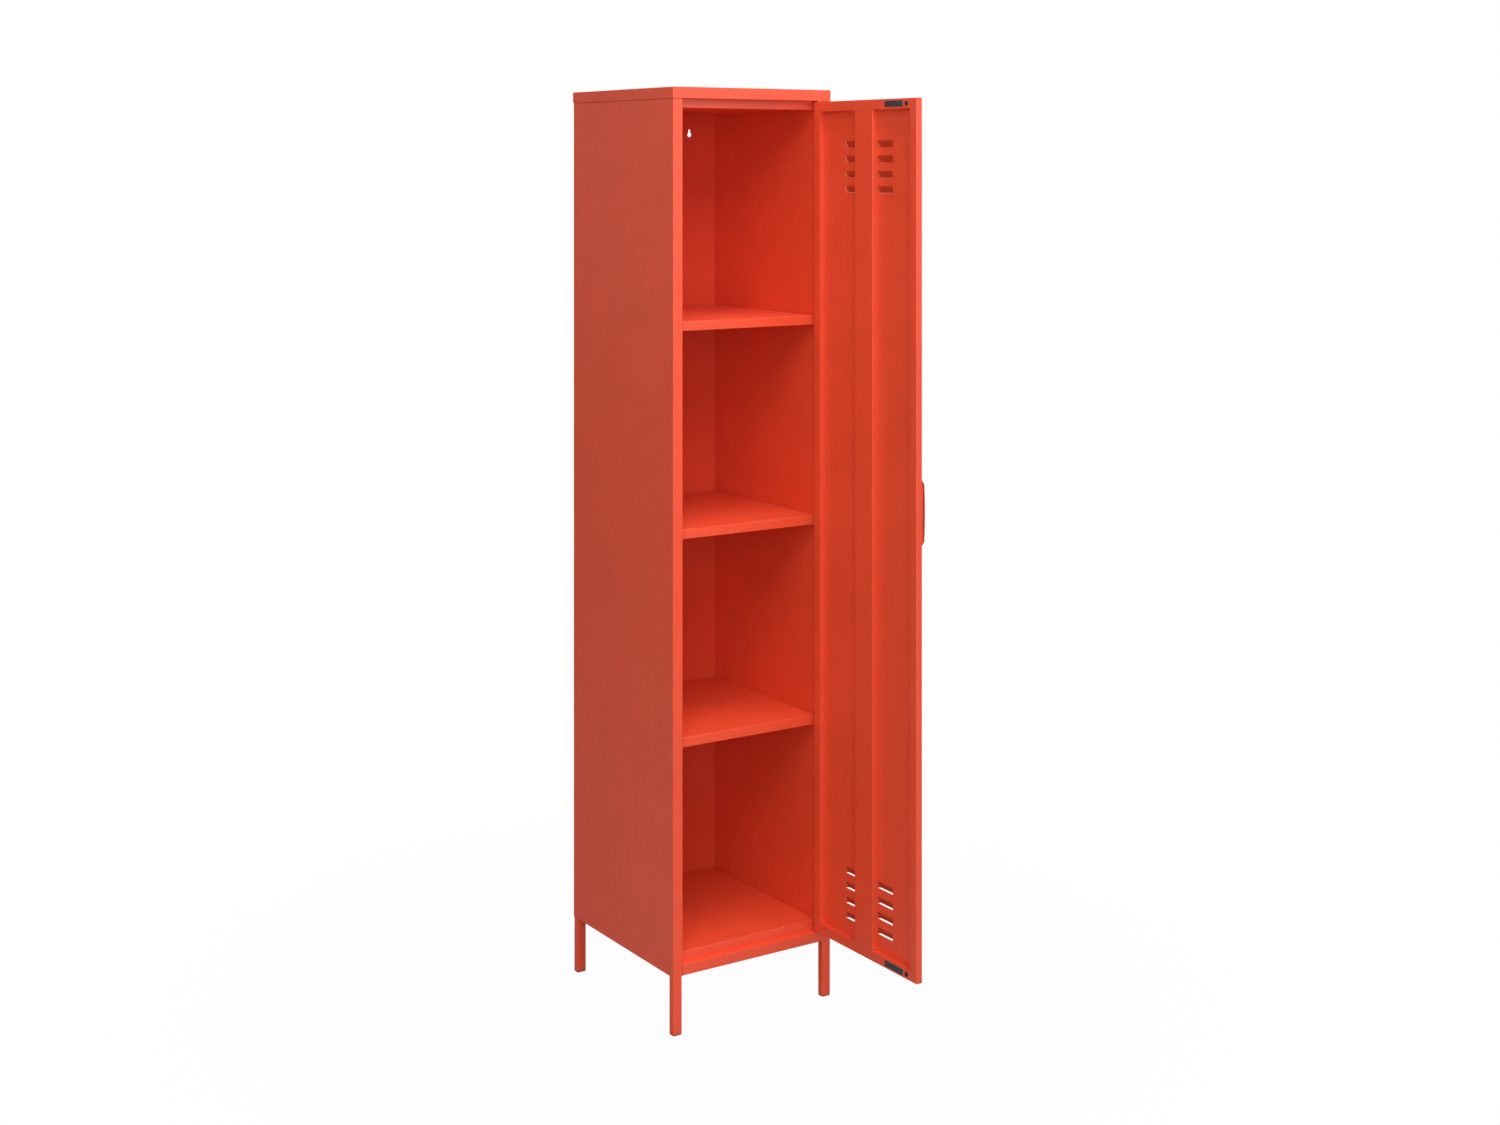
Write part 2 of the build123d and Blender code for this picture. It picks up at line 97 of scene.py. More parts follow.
# ---- Places on the locker, in metres
# The lower edge of the cap's lip, and the underside of the base pan. The legs end 2 mm below the pan.
LIP_Z = 1.828
BASE_Z = 0.114
# The height of a line of painted shade that ends at one of those two.
SEAM_WIDE = 0.003
# The outer face of the door's sheet, and how far short of it and beyond it the louvres' painted shade runs
# in.
DOOR_X = 0.1663
LOUVRE_START = 0.0003
LOUVRE_FULL = 0.0002
# How far a face has to look back into the door for that shade to begin, and to be full.
FACING_START = -0.02
FACING_FULL = -0.10

# ---- Tolerances in metres
TOUCH = 1e-5
MERGE = 1e-6

# ---- Sizes of the small pieces, in metres
MAGNET_CORNER = 0.001
RIVET_HEAD = 0.0038
RIVET_BORE = 0.0011
RIVET_BARREL = 0.002
RIVET_APART = 0.02
SCREW_HEAD = 0.0046
SCREW_SHANK = 0.0025

# ---- Steps of a rounding or of a whole turn, and smoothing angles in degrees
MAGNET_CORNER_STEPS = 3
MAGNET_RIM_STEPS = 2
DOME_STEPS = 6
BUMPER_STEPS = 40
RIVET_STEPS = 20
SCREW_STEPS = 24
SMOOTH_ANGLE = 35.0
MAGNET_ANGLE = 30.0

# ---- Coat: factors on its colour, the openness at which painted seam shade is full and none, and its gloss
MOTTLE_DARK = 0.965
MOTTLE_PALE = 1.03
EDGE_PALE = 1.10
SEAM_SHADE_FULL = 0.10
SEAM_SHADE_NONE = 0.40
COAT_GLOSS = 0.70
SHADED_GLOSS = 0.15

# ---- Mouldings and floor: factors on their colour, and how far the paler edge colour reaches, in metres
RIM_PALE = 1.8
RIM_REACH = 0.0008
FLOOR_DARK = 0.995

# ---- Shading: the part of a noise's range that is stretched
NOISE_LOW = 0.3
NOISE_HIGH = 0.7
# The cosine of the angle that an edge turns the normal by, where its mask begins and where it is full.
EDGE_FLAT = 0.98
EDGE_SHARP = 0.75
# Samples taken to find edges and seams.
EDGE_SAMPLES = 4
SEAM_SAMPLES = 8

# ---- Lights: name, place and aim in metres, width in metres, share of the key power
LIGHTS = (
    ("high_front", (0.0, -3.2, 4.2), (0.0, 0.0, 0.9), 2.2, 1.22),
    ("high_left", (-2.6, -3.0, 4.0), (0.0, 0.0, 0.9), 2.2, 1.20),
    ("left", (-4.5, -0.4, 2.0), (0.0, 0.0, 0.9), 2.2, 0.40),
    ("broad_front", (-2.9, -4.5, 1.7), (0.0, 0.0, 0.8), 2.2, 1.30),
    ("steep_front", (-0.3, -1.4, 4.8), (0.0, -0.3, 0.2), 1.6, 1.20),
    ("gloss_right", (1.9, -4.2, 2.4), (0.0, 0.0, 1.2), 2.4, 0.66),
    ("gloss_left", (-3.4, 4.2, 2.2), (0.0, 0.0, 1.0), 3.0, 0.25),
    ("back", (1.6, 4.2, 3.2), (0.0, 0.0, 1.0), 3.0, 0.90),
    ("right", (4.4, 0.6, 2.6), (0.0, 0.0, 0.9), 2.4, 0.80),
)

# ---- Camera and floor: metres, degrees, shifts in frame widths, and the frame in millimetres
CAMERA_PLACE = (-2.3252, -3.6252, 1.69645)
CAMERA_TURN = -32.6
CAMERA_SHIFT_X = 0.0353
CAMERA_SHIFT_Y = -0.2648
CAMERA_FRAME = 36.0
CAMERA_REACH = 100.0
FLOOR_SIZE = 12.0
FLOOR_CELLS = 8
WHITE = (1, 1, 1, 1)


# ---- Node helpers
def new_material(name):
    """An empty node material with its shader and output joined."""
    material = bpy.data.materials.new(name)
    material.use_nodes = True
    tree = material.node_tree
    tree.nodes.clear()
    output = tree.nodes.new("ShaderNodeOutputMaterial")
    shader = tree.nodes.new("ShaderNodeBsdfPrincipled")
    tree.links.new(shader.outputs["BSDF"], output.inputs["Surface"])
    place = tree.nodes.new("ShaderNodeTexCoord")
    return material, tree, shader, place.outputs["Object"]


def noise(tree, place, scale, detail=3.0, roughness=0.5):
    """Noise of a given number of features to the metre."""
    node = tree.nodes.new("ShaderNodeTexNoise")
    node.inputs["Scale"].default_value = scale
    node.inputs["Detail"].default_value = detail
    node.inputs["Roughness"].default_value = roughness
    tree.links.new(place, node.inputs["Vector"])
    return node.outputs["Fac"]


def spread(tree, value, low, high, to_low, to_high):
    """A value stretched from one range onto another and held inside it."""
    node = tree.nodes.new("ShaderNodeMapRange")
    tree.links.new(value, node.inputs["Value"])
    node.inputs["From Min"].default_value = low
    node.inputs["From Max"].default_value = high
    node.inputs["To Min"].default_value = to_low
    node.inputs["To Max"].default_value = to_high
    return node.outputs["Result"]


def mottled(tree, place, scale, detail, to_low=0.0, to_high=1.0):
    """Noise of which the middle of the range is stretched over another range."""
    return spread(tree, noise(tree, place, scale, detail), NOISE_LOW, NOISE_HIGH, to_low, to_high)


def between(tree, share, first, second):
    """A colour mixed from two by a share."""
    node = tree.nodes.new("ShaderNodeMix")
    node.data_type = "RGBA"
    tree.links.new(share, node.inputs["Factor"])
    for socket, colour in (("A", first), ("B", second)):
        target = [s for s in node.inputs if s.name == socket and s.type == "RGBA"][0]
        if isinstance(colour, bpy.types.NodeSocket):
            tree.links.new(colour, target)
        else:
            target.default_value = colour
    return [s for s in node.outputs if s.type == "RGBA"][0]


def edge_mask(tree, reach):
    """How near a point is to a folded or cut edge, from 0 on the flat to 1 at the edge."""
    rounded = tree.nodes.new("ShaderNodeBevel")
    rounded.samples = EDGE_SAMPLES
    rounded.inputs["Radius"].default_value = reach
    flat = tree.nodes.new("ShaderNodeNewGeometry")
    turn = tree.nodes.new("ShaderNodeVectorMath")
    turn.operation = "DOT_PRODUCT"
    tree.links.new(rounded.outputs["Normal"], turn.inputs[0])
    tree.links.new(flat.outputs["Normal"], turn.inputs[1])
    return spread(tree, turn.outputs["Value"], EDGE_FLAT, EDGE_SHARP, 0.0, 1.0)


def crevice(tree, reach):
    """How open a point is: 1 in the open, falling to 0 deep in a seam or under a lip."""
    opened = tree.nodes.new("ShaderNodeAmbientOcclusion")
    opened.samples = SEAM_SAMPLES
    opened.inputs["Distance"].default_value = reach
    return opened.outputs["AO"]


def relief(tree, shader, height, strength, distance):
    """Fine relief on the shader's normal."""
    bump = tree.nodes.new("ShaderNodeBump")
    bump.inputs["Strength"].default_value = strength
    bump.inputs["Distance"].default_value = distance
    tree.links.new(height, bump.inputs["Height"])
    tree.links.new(bump.outputs["Normal"], shader.inputs["Normal"])


def shade(colour, factor):
    """The same colour, lighter or darker."""
    return [min(1.0, c * factor) for c in colour[:3]] + [1.0]


def product(tree, first, second):
    """Two shares multiplied."""
    node = tree.nodes.new("ShaderNodeMath")
    node.operation = "MULTIPLY"
    tree.links.new(first, node.inputs[0])
    tree.links.new(second, node.inputs[1])
    return node.outputs["Value"]


def along(tree, vector, axis):
    """One axis of a vector."""
    node = tree.nodes.new("ShaderNodeSeparateXYZ")
    tree.links.new(vector, node.inputs["Vector"])
    return node.outputs[axis]


def own_normal(tree):
    """The way a point faces in its own piece's frame, so that it turns with the door."""
    flat = tree.nodes.new("ShaderNodeNewGeometry")
    turn = tree.nodes.new("ShaderNodeVectorTransform")
    turn.vector_type = "NORMAL"
    turn.convert_from = "WORLD"
    turn.convert_to = "OBJECT"
    tree.links.new(flat.outputs["Normal"], turn.inputs["Vector"])
    return turn.outputs["Vector"]


def under_cap(tree, place):
    """The line of painted shade below the cap's lip, on the side panels."""
    return spread(tree, along(tree, place, "Z"), LIP_Z - SEAM_WIDE, LIP_Z, 0.0, 1.0)


def under_base(tree, place):
    """The line of painted shade below the base pan. Only the top millimetre of a leg reaches into it."""
    return spread(tree, along(tree, place, "Z"), BASE_Z - SEAM_WIDE, BASE_Z, 0.0, 1.0)


def in_louvres(tree, place):
    """The insides of the louvres, which stand beyond the door's sheet and face back into the door, where
    shade is painted.
    """
    depth = along(tree, place, "X")
    beyond = spread(tree, depth, DOOR_X - LOUVRE_START, DOOR_X + LOUVRE_FULL, 0.0, 1.0)
    turned_back = along(tree, own_normal(tree), "X")
    facing = spread(tree, turned_back, FACING_START, FACING_FULL, 0.0, 1.0)
    return product(tree, beyond, facing)


def coral_coat(settings, name, shaded):
    """Satin powder coat: orange peel, faint mottling, paler edges, and painted shade in seams and in a
    mask.
    """
    material, tree, shader, place = new_material(name)
    coat = list(settings.coat_colour) + [1.0]
    mottle = mottled(tree, place, scale=9.0, detail=4.0)
    body = between(tree, mottle, shade(coat, MOTTLE_DARK), shade(coat, MOTTLE_PALE))
    # The coat's colour is paler along folded and cut edges.
    pale_edged = between(tree, edge_mask(tree, settings.edge_reach), body, shade(coat, EDGE_PALE))
    # Painted shade: the coat is darkened deep in seams and gaps, by how open each point is.
    seam_open = spread(tree, crevice(tree, settings.seam_reach), SEAM_SHADE_FULL, SEAM_SHADE_NONE, 0.0, 1.0)
    colour = between(tree, seam_open, shade(coat, settings.seam_shade), pale_edged)
    shader.inputs["Specular IOR Level"].default_value = COAT_GLOSS
    if shaded:
        # Painted shade: the coat darkens where the mask lies, in the louvres, under the cap's lip or under
        # the base pan.
        share = shaded(tree, place)
        colour = between(tree, share, colour, shade(coat, settings.hollow_shade))
        gloss = spread(tree, share, 0.0, 1.0, COAT_GLOSS, SHADED_GLOSS)
        tree.links.new(gloss, shader.inputs["Specular IOR Level"])
    tree.links.new(colour, shader.inputs["Base Color"])
    sheen = mottled(tree, place, 60.0, 3.0, settings.gloss_low, settings.gloss_high)
    tree.links.new(sheen, shader.inputs["Roughness"])
    peel = noise(tree, place, scale=520.0, detail=2.0, roughness=0.45)
    relief(tree, shader, peel, settings.peel, distance=0.00025)
    return material


def zinc_plate():
    """Zinc-plated steel: spangled grey with a fine grain."""
    material, tree, shader, place = new_material("zinc plate")
    spangle = mottled(tree, place, scale=700.0, detail=2.0)
    colour = between(tree, spangle, (0.50, 0.51, 0.53, 1.0), (0.68, 0.69, 0.70, 1.0))
    tree.links.new(colour, shader.inputs["Base Color"])
    dulled = mottled(tree, place, 260.0, 4.0, to_low=0.30, to_high=0.48)
    tree.links.new(dulled, shader.inputs["Roughness"])
    shader.inputs["Metallic"].default_value = 1.0
    grain = noise(tree, place, scale=1500.0, detail=2.0)
    relief(tree, shader, grain, strength=0.25, distance=0.0001)
    return material


def moulded(name, dark, light, rough_low, rough_high, grain):
    """A moulded plastic, rubber or ceramic with a fine even grain, paler along its edges."""
    material, tree, shader, place = new_material(name)
    tone = mottled(tree, place, scale=120.0, detail=3.0)
    body = between(tree, tone, dark, light)
    # The colour is paler along the edges.
    pale_rimmed = between(tree, edge_mask(tree, RIM_REACH), body, shade(light, RIM_PALE))
    tree.links.new(pale_rimmed, shader.inputs["Base Color"])
    gloss = mottled(tree, place, 300.0, 3.0, rough_low, rough_high)
    tree.links.new(gloss, shader.inputs["Roughness"])
    relief(tree, shader, noise(tree, place, grain), strength=0.35, distance=0.00012)
    return material


def studio_paint(colour, bright_near, fade_start, fade_end):
    """Matt floor paint, lit from within just enough to run into the white surround."""
    material, tree, shader, place = new_material("studio paint")
    tone = mottled(tree, place, scale=2.0, detail=2.0)
    paint = between(tree, tone, shade(colour, FLOOR_DARK), shade(colour, 1.0))
    tree.links.new(paint, shader.inputs["Base Color"])
    shader.inputs["Roughness"].default_value = 1.0
    shader.inputs["Specular IOR Level"].default_value = 0.0
    away = tree.nodes.new("ShaderNodeVectorMath")
    away.operation = "LENGTH"
    tree.links.new(place, away.inputs[0])
    share = spread(tree, away.outputs["Value"], fade_start, fade_end, bright_near, 1.0)
    seen = tree.nodes.new("ShaderNodeLightPath")
    only_seen = product(tree, share, seen.outputs["Is Camera Ray"])
    white = tree.nodes.new("ShaderNodeEmission")
    white.inputs["Strength"].default_value = 1.0
    either = tree.nodes.new("ShaderNodeMixShader")
    tree.links.new(only_seen, either.inputs["Fac"])
    tree.links.new(shader.outputs["BSDF"], either.inputs[1])
    tree.links.new(white.outputs["Emission"], either.inputs[2])
    output = [n for n in tree.nodes if n.type == "OUTPUT_MATERIAL"][0]
    tree.links.new(either.outputs["Shader"], output.inputs["Surface"])
    return material


# ---- Finishes
# The coat, and copies of it with painted shade in the louvres, under the cap's lip and under the base pan.
COATS = {
    "coral_paint": ("coral powder coat", None),
    "coral_louvre_painted_shade": ("coral coat with painted shade in the louvres", in_louvres),
    "coral_cap_painted_shade": ("coral coat with painted shade under the cap", under_cap),
    "coral_leg_painted_shade": ("coral coat with painted shade under the base", under_base),
}
MOULDINGS = {
    "black_nylon": ("black nylon", (0.012, 0.010, 0.010, 1), (0.022, 0.019, 0.019, 1), 0.42, 0.58, 900.0),
    "white_nylon": ("white nylon", (0.70, 0.70, 0.67, 1), (0.80, 0.80, 0.77, 1), 0.35, 0.5, 900.0),
    "ferrite": ("ferrite", (0.026, 0.040, 0.043, 1), (0.036, 0.053, 0.057, 1), 0.40, 0.55, 1600.0),
    "black_rubber": ("black rubber", (0.010, 0.010, 0.011, 1), (0.018, 0.018, 0.020, 1), 0.6, 0.78, 1200.0),
}
MATERIALS = {}


def finish_of(name):
    """The material of a record slot, or of a kind of the coat with painted shade, made once."""
    if name not in MATERIALS:
        if name in COATS:
            MATERIALS[name] = coral_coat(bpy.context.scene.locker_coat, *COATS[name])
        elif name in MOULDINGS:
            MATERIALS[name] = moulded(*MOULDINGS[name])
        elif name == "zinc_steel":
            MATERIALS[name] = zinc_plate()
        else:
            raise ValueError(f"no finish is called {name}")
    return MATERIALS[name]


def coat_nodes(names, slot, finish=None):
    """Gives carried-over nodes the finish of their record slot, or a kind of it with painted shade."""
    for name in names:
        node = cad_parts[name]
        node.data.materials.clear()
        node.data.materials.append(finish_of(finish or slot))


# ---- Mesh helpers
def finished(mesh_edit, name, slot, body, replaced, smooth_angle=SMOOTH_ANGLE):
    """Turns an edit mesh into a piece that rides on a body and stands for its nodes."""
    bmesh.ops.remove_doubles(mesh_edit, verts=mesh_edit.verts, dist=MERGE)
    bmesh.ops.recalc_face_normals(mesh_edit, faces=mesh_edit.faces)
    data = bpy.data.meshes.new(name)
    mesh_edit.to_mesh(data)
    mesh_edit.free()
    data.materials.append(finish_of(slot))
    data.shade_smooth()
    data.set_sharp_from_angle(angle=math.radians(smooth_angle))
    piece = bpy.data.objects.new(name, data)
    bpy.context.scene.collection.objects.link(piece)
    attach(piece, body)
    for node in replaced:
        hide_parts(node)


def turned(mesh_edit, profile, axis, centre, steps):
    """Spins a profile of (radius, height) points about an axis through a centre."""
    axis = Vector(axis).normalized()
    across = axis.orthogonal().normalized()
    verts = [mesh_edit.verts.new(Vector(centre) + across * r + axis * h) for r, h in profile]
    edges = [mesh_edit.edges.new(pair) for pair in zip(verts, verts[1:])]
    bmesh.ops.spin(
        mesh_edit,
        geom=verts + edges,
        cent=centre,
        axis=axis,
        angle=2 * math.pi,
        steps=steps,
        use_merge=True,
    )


def box_between(mesh_edit, low, high):
    """A closed box between two corners."""
    low, high = Vector(low), Vector(high)
    made = bmesh.ops.create_cube(mesh_edit, size=1.0)
    bmesh.ops.scale(mesh_edit, vec=high - low, verts=made["verts"])
    bmesh.ops.translate(mesh_edit, vec=(low + high) / 2, verts=made["verts"])


def bevelled(mesh_edit, edges, width, segments):
    """Rounds edges with the editor's usual settings."""
    bmesh.ops.bevel(
        mesh_edit,
        geom=edges,
        offset=width,
        offset_type="OFFSET",
        segments=segments,
        profile=0.5,
        affect="EDGES",
        material=-1,
    )


# ---- Settings
class LockerCoat(bpy.types.PropertyGroup):
    """Colour and film of the powder coat."""

    coat_colour: bpy.props.FloatVectorProperty(
        name="Coat colour",
        description="Colour of the powder coat on every sheet, tube and shelf",
        subtype="COLOR",
        size=3,
        min=0.0,
        max=1.0,
        default=(0.79, 0.074, 0.025),
    )
    gloss_low: bpy.props.FloatProperty(
        name="Glossiest",
        description="Roughness of the shiniest patches",
        subtype="FACTOR",
        min=0.0,
        max=1.0,
        default=0.40,
    )
    gloss_high: bpy.props.FloatProperty(
        name="Dullest",
        description="Roughness of the dullest patches",
        subtype="FACTOR",
        min=0.0,
        max=1.0,
        default=0.50,
    )
    peel: bpy.props.FloatProperty(
        name="Orange peel",
        description="Strength of the coat's fine relief",
        subtype="FACTOR",
        min=0.0,
        max=1.0,
        default=0.30,
    )
    edge_reach: bpy.props.FloatProperty(
        name="Edge reach",
        description="How far the thinner film reaches from an edge",
        unit="LENGTH",
        subtype="DISTANCE",
        min=0.0,
        default=0.0012,
    )
    seam_reach: bpy.props.FloatProperty(
        name="Seam reach",
        description="How far the shade in the seams reaches",
        unit="LENGTH",
        subtype="DISTANCE",
        min=0.0,
        default=0.003,
    )
    # Painted shade: how dark the coat is painted deep in a seam.
    seam_shade: bpy.props.FloatProperty(
        name="Seam shade",
        description="Brightness of the coat deep in a seam",
        subtype="FACTOR",
        min=0.0,
        max=1.0,
        default=0.30,
    )
    # Painted shade: how dark the coat is painted in the louvres and in the lines under the cap and the
    # base.
    hollow_shade: bpy.props.FloatProperty(
        name="Hollow shade",
        description="Brightness of the coat in the louvres and in the lines under the cap and the base",
        subtype="FACTOR",
        min=0.0,
        max=1.0,
        default=0.68,
    )


class LockerCatches(bpy.types.PropertyGroup):
    """Shapes of the magnets and bumpers."""

    magnet_bevel: bpy.props.FloatProperty(
        name="Magnet bevel",
        description="Width of the bevel round a magnet's face",
        unit="LENGTH",
        subtype="DISTANCE",
        min=0.0001,
        default=0.0009,
    )
    bumper_dome: bpy.props.FloatProperty(
        name="Bumper dome",
        description="How far a bumper's edge is rounded",
        unit="LENGTH",
        subtype="DISTANCE",
        min=0.0001,
        default=0.0009,
    )


class LockerStudio(bpy.types.PropertyGroup):
    """Floor, lights and camera."""

    floor_colour: bpy.props.FloatVectorProperty(
        name="Floor colour",
        description="Paint of the studio floor",
        subtype="COLOR",
        size=3,
        min=0.0,
        max=1.0,
        default=(0.40, 0.40, 0.40),
    )
    floor_light: bpy.props.FloatProperty(
        name="Floor light",
        description="Share of even white in the floor near the locker",
        subtype="FACTOR",
        min=0.0,
        max=1.0,
        default=0.975,
    )
    fade_start: bpy.props.FloatProperty(
        name="Fade start",
        description="Distance at which the floor begins to run into white",
        unit="LENGTH",
        subtype="DISTANCE",
        min=0.0,
        default=0.4,
    )
    fade_end: bpy.props.FloatProperty(
        name="Fade end",
        description="Distance at which the floor is plain white",
        unit="LENGTH",
        subtype="DISTANCE",
        min=0.1,
        default=1.5,
    )
    surround: bpy.props.FloatProperty(
        name="Surround",
        description="Strength of the light from the white surround",
        min=0.0,
        default=0.03,
    )
    key_power: bpy.props.FloatProperty(
        name="Key",
        description="Power that every light takes its own share of",
        unit="POWER",
        min=0.0,
        default=60.0,
    )
    lens: bpy.props.FloatProperty(
        name="Lens",
        description="Focal length on a 36 mm frame",
        unit="CAMERA",
        min=1.0,
        default=49.778,
    )


# ---- Finding the small pieces on their nodes
def frame_value(node, axis, end):
    """One side of a node's box: axis x, y or z, end 0 for the low side and 1 for the high."""
    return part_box(node)[end]["xyz".index(axis)]


def grouped(values, gap):
    """The middles of the clusters in a list of numbers."""
    clusters = []
    for value in sorted(values):
        if clusters and value - clusters[-1][-1] < gap:
            clusters[-1].append(value)
        else:
            clusters.append([value])
    return [(cluster[0] + cluster[-1]) / 2 for cluster in clusters]


def rivet_places(outermost):
    """The x and z of each back rivet, from the rims that lie beyond a given y. Column by column."""
    source = bmesh.new()
    source.from_mesh(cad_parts["back_rivets"].data)
    heads = [vert.co.copy() for vert in source.verts if vert.co.y > outermost]
    source.free()
    places = []
    for right in (False, True):
        column = [point for point in heads if (point.x > 0) == right]
        middle = sum(point.x for point in column) / len(column)
        levels = grouped([point.z for point in column], RIVET_APART)
        places.extend((middle, level) for level in levels)
    return places


def screw_places():
    """The x and y of each leg screw, from the loose islands of their node."""
    edit = bmesh.new()
    edit.from_mesh(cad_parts["leg_screws"].data)
    bmesh.ops.remove_doubles(edit, verts=edit.verts, dist=MERGE)
    seen = set()
    places = []
    for start in edit.verts:
        if start in seen:
            continue
        island = []
        queue = [start]
        seen.add(start)
        while queue:
            vert = queue.pop()
            island.append(vert.co.copy())
            for edge in vert.link_edges:
                other = edge.other_vert(vert)
                if other not in seen:
                    seen.add(other)
                    queue.append(other)
        across = [point.x for point in island]
        deep = [point.y for point in island]
        places.append(((min(across) + max(across)) / 2, (min(deep) + max(deep)) / 2))
    edit.free()
    return places


# ---- Stage
def lay_floor(scene, studio):
    """A pale floor that runs into the white surround."""
    edit = bmesh.new()
    bmesh.ops.create_grid(edit, x_segments=FLOOR_CELLS, y_segments=FLOOR_CELLS, size=FLOOR_SIZE)
    data = bpy.data.meshes.new("studio_floor")
    edit.to_mesh(data)
    edit.free()
    colour = list(studio.floor_colour) + [1.0]
    data.materials.append(
        studio_paint(colour, studio.floor_light, studio.fade_start, studio.fade_end)
    )
    floor = bpy.data.objects.new("studio_floor", data)
    scene.collection.objects.link(floor)


def hang_surround(scene, studio):
    """A surround that looks white to the camera and lights the locker only faintly."""
    world = bpy.data.worlds.new("studio surround")
    world.use_nodes = True
    tree = world.node_tree
    background = tree.nodes["Background"]
    background.inputs["Color"].default_value = WHITE
    background.inputs["Strength"].default_value = studio.surround
    backdrop = tree.nodes.new("ShaderNodeBackground")
    backdrop.inputs["Color"].default_value = WHITE
    seen = tree.nodes.new("ShaderNodeLightPath")
    either = tree.nodes.new("ShaderNodeMixShader")
    tree.links.new(seen.outputs["Is Camera Ray"], either.inputs["Fac"])
    tree.links.new(background.outputs["Background"], either.inputs[1])
    tree.links.new(backdrop.outputs["Background"], either.inputs[2])
    tree.links.new(either.outputs["Shader"], tree.nodes["World Output"].inputs["Surface"])
    scene.world = world


def hang_lights(scene, studio):
    """Soft square lights, each aimed at its own point of the locker."""
    for name, place, aim, size, share in LIGHTS:
        lamp = bpy.data.lights.new(name, "AREA")
        lamp.energy = studio.key_power * share
        lamp.size = size
        holder = bpy.data.objects.new(name, lamp)
        holder.location = place
        aimed = Vector(aim) - Vector(place)
        holder.rotation_euler = aimed.to_track_quat("-Z", "Y").to_euler()
        scene.collection.objects.link(holder)


def set_camera(scene, studio):
    """A level camera to the front left, with its frame shifted down to take in the legs."""
    camera = bpy.data.cameras.new("camera")
    camera.lens = studio.lens
    camera.sensor_width = CAMERA_FRAME
    camera.shift_x = CAMERA_SHIFT_X
    camera.shift_y = CAMERA_SHIFT_Y
    camera.clip_end = CAMERA_REACH
    holder = bpy.data.objects.new("camera", camera)
    holder.location = CAMERA_PLACE
    holder.rotation_euler = (math.radians(90.0), 0.0, math.radians(CAMERA_TURN))
    scene.collection.objects.link(holder)
    scene.camera = holder


# ---- Operators
class LOCKER_OT_sheet_metal(bpy.types.Operator):
    """Coat the folded sheets, the shelves, the legs and the door"""

    bl_idname = "locker.sheet_metal"
    bl_label = "Sheet metal"

    def execute(self, context):
        coat_nodes(SHEET_NODES, "coral_paint")
        # The door, the side panels and the legs get copies of the coat with painted shade.
        coat_nodes(DOOR_NODES, "coral_paint", "coral_louvre_painted_shade")
        coat_nodes(SIDE_NODES, "coral_paint", "coral_cap_painted_shade")
        coat_nodes(LEG_NODES, "coral_paint", "coral_leg_painted_shade")
        return {"FINISHED"}


class LOCKER_OT_small_steel(bpy.types.Operator):
    """Plate the nuts, the hinge pins and the hinge plates"""

    bl_idname = "locker.small_steel"
    bl_label = "Pins, plates and nuts"

    def execute(self, context):
        coat_nodes(STEEL_NODES, "zinc_steel")
        coat_nodes(("hinge_washer",), "white_nylon")
        return {"FINISHED"}


class LOCKER_OT_glides(bpy.types.Operator):
    """Finish the four glides"""

    bl_idname = "locker.glides"
    bl_label = "Glides"

    def execute(self, context):
        coat_nodes(GLIDE_NODES, "black_nylon")
        return {"FINISHED"}


class LOCKER_OT_magnets(bpy.types.Operator):
    """Make the two door magnets, with a bevelled face"""

    bl_idname = "locker.magnets"
    bl_label = "Door magnets"

    def execute(self, context):
        bevel = context.scene.locker_catches.magnet_bevel
        for end in ("bottom", "top"):
            node = f"door_magnet_{end}"
            low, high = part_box(node)
            edit = bmesh.new()
            box_between(edit, low, high)
            upright = [e for e in edit.edges if abs(e.verts[0].co.x - e.verts[1].co.x) > TOUCH]
            bevelled(edit, upright, MAGNET_CORNER, MAGNET_CORNER_STEPS)
            rim = [e for e in edit.edges if all(v.co.x < low.x + TOUCH for v in e.verts)]
            bevelled(edit, rim, bevel, MAGNET_RIM_STEPS)
            finished(edit, f"{node}_block", "ferrite", DOOR, (node,), MAGNET_ANGLE)
        return {"FINISHED"}


class LOCKER_OT_bumpers(bpy.types.Operator):
    """Make the two domed rubber bumpers"""

    bl_idname = "locker.bumpers"
    bl_label = "Door bumpers"

    def execute(self, context):
        dome = context.scene.locker_catches.bumper_dome
        for end in ("bottom", "top"):
            node = f"door_bumper_{end}"
            low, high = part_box(node)
            radius = (high.y - low.y) / 2
            length = high.x - low.x
            centre = Vector((high.x, (low.y + high.y) / 2, (low.z + high.z) / 2))
            profile = [(0.0, 0.0), (radius, 0.0), (radius, length - dome)]
            for step in range(1, DOME_STEPS + 1):
                turn = step / DOME_STEPS * math.pi / 2
                profile.append(
                    (radius - dome + dome * math.cos(turn), length - dome + dome * math.sin(turn))
                )
            profile.append((0.0, length))
            edit = bmesh.new()
            turned(edit, profile, (-1, 0, 0), centre, BUMPER_STEPS)
            finished(edit, f"{node}_dome", "black_rubber", DOOR, (node,))
        return {"FINISHED"}


